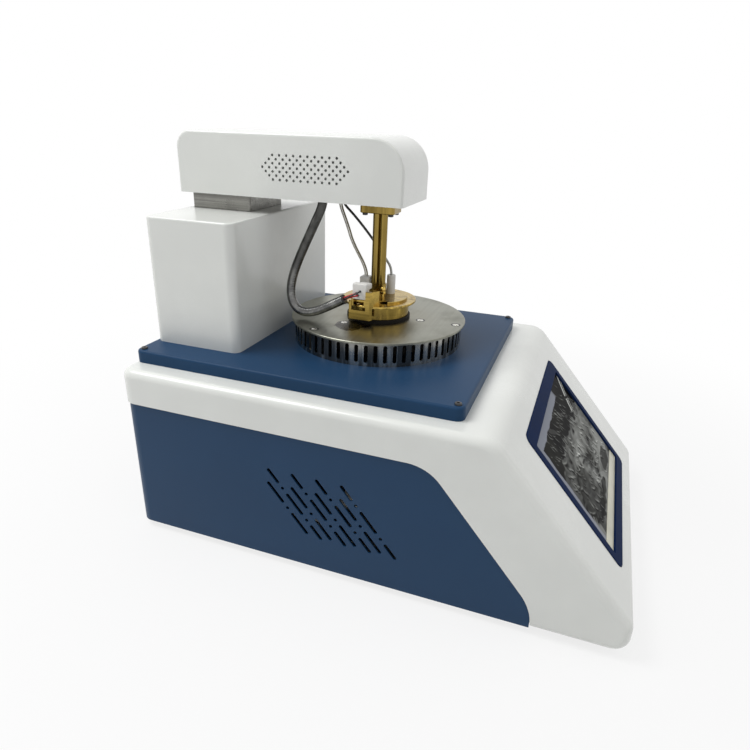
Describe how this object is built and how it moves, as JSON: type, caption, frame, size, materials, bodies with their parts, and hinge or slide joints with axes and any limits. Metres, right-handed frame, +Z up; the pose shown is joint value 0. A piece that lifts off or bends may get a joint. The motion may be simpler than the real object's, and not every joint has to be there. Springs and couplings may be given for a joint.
{
  "type": "closed cup flash point tester",
  "caption": "Bench closed-cup flash point tester: white and blue housing with a sloping touch display, a slotted heater ring around a test cup, and a head on an arm that a rear column lifts.",
  "frame": {"origin": "middle of the footprint on the table, at the bottom of the feet", "axes": "+Z up, -Y front with the display, +X the user's right"},
  "size_m": [0.33, 0.502, 0.3993],
  "materials": {
    "white_paint": "gloss powder coat",
    "blue_paint": "satin powder coat",
    "zinc_steel": "zinc plated sheet",
    "black_rubber": "moulded",
    "black_plastic": "moulded",
    "black_gloss": "moulded",
    "stainless": "turned and brushed",
    "bezel_blue": "satin moulded",
    "screen_glass": "dark glass over a display",
    "board_green": "solder mask",
    "dark_steel": "black oxide",
    "aluminium": "machined",
    "insulation": "mineral wool sleeve",
    "brass": "machined, lightly tarnished",
    "grey_plastic": "moulded",
    "white_plastic": "moulded",
    "hose_metal": "wound strip",
    "wire_black": "insulated wire",
    "wire_red": "insulated wire"
  },
  "bodies": {
    "base": {"upper_housing": "white_paint", "left_side_panel": "blue_paint", "right_side_panel": "blue_paint", "rear_panel": "blue_paint", "base_pan": "zinc_steel", "rubber_feet": "black_rubber", "power_supply": "zinc_steel", "power_inlet": "black_plastic", "cooling_fan": "black_plastic", "fan_guard": "stainless", "display_bezel": "bezel_blue", "touch_screen": "screen_glass", "display_module": "black_plastic", "control_board": "board_green", "deck_plate": "blue_paint", "deck_screws": "dark_steel", "guard_ring": "stainless", "heater_top_plate": "stainless", "top_plate_screws": "stainless", "plate_pillars": "zinc_steel", "heater_block": "aluminium", "band_heater": "stainless", "insulation_sleeve": "insulation", "test_cup": "brass", "cup_seat_ring": "black_plastic", "column_cover": "white_paint", "guide_rods": "stainless", "lift_mast": "zinc_steel", "lift_motor": "black_plastic"},
    "head": {"lid": "brass", "lid_cover": "brass", "column_foot": "brass", "head_column": "brass", "head_flange": "brass", "head_screws": "dark_steel", "shaft_bushes": "brass", "temperature_probe": "grey_plastic", "flash_detector": "white_plastic", "igniter_bracket": "brass", "igniter_block": "white_plastic", "motor_bracket": "zinc_steel", "stir_motor": "stainless", "shutter_motor": "black_plastic", "arm_cover": "white_paint", "arm_base_plate": "zinc_steel", "lift_sleeve": "stainless", "bearing_block": "aluminium", "lift_rack": "zinc_steel", "flexible_hose": "hose_metal", "sensor_cable": "wire_black", "detector_cable": "wire_black", "igniter_wires": "wire_red"},
    "stirring_shaft": {"stirrer": "stainless"},
    "shutter_disc": {"shutter": "brass", "shutter_gear": "brass"},
    "shutter_drive": {"drive_sector": "brass"},
    "igniter": {"igniter_arm": "brass"},
    "lift_gear": {"lift_pinion": "zinc_steel"},
    "fan_wheel": {"fan_rotor": "black_plastic"},
    "mains_switch": {"power_rocker": "black_gloss"}
  },
  "joints": [
    {"name": "arm_lift", "type": "slide", "parent": "base", "child": "head", "axis": [0, 0, 1], "range_m": [0, 0.09]},
    {"name": "lift_pinion_turn", "type": "hinge", "parent": "base", "child": "lift_gear", "pos_m": [-0.023, 0.206, 0.3], "axis": [1, 0, 0], "range_deg": [-645.6, 0]},
    {"name": "stirrer_turn", "type": "hinge", "parent": "head", "child": "stirring_shaft", "pos_m": [0, 0.0364, 0.3], "axis": [0, 0, 1], "continuous": true},
    {"name": "shutter_turn", "type": "hinge", "parent": "head", "child": "shutter_disc", "pos_m": [0, 0.044, 0.3], "axis": [0, 0, -1], "range_deg": [0, 40]},
    {"name": "shutter_drive_turn", "type": "hinge", "parent": "head", "child": "shutter_drive", "pos_m": [0, 0.0608, 0.3476], "axis": [0, 0, -1], "range_deg": [-16, 0]},
    {"name": "igniter_dip", "type": "hinge", "parent": "head", "child": "igniter", "pos_m": [-0.0332, 0.046, 0.2453], "axis": [0, 1, 0], "range_deg": [0, 36]},
    {"name": "fan_turn", "type": "hinge", "parent": "base", "child": "fan_wheel", "pos_m": [0.072, 0.2362, 0.082], "axis": [0, -1, 0], "continuous": true},
    {"name": "switch_rock", "type": "hinge", "parent": "base", "child": "mains_switch", "pos_m": [-0.092, 0.2452, 0.0765], "axis": [1, 0, 0], "range_deg": [-7, 7]}
  ],
  "couplings": [
    {"joint": "lift_pinion_turn", "follows": "arm_lift", "rad_per_m": -125},
    {"joint": "shutter_drive_turn", "follows": "shutter_turn", "ratio": -0.4},
    {"joint": "igniter_dip", "follows": "shutter_turn", "ratio": 0.9}
  ]
}
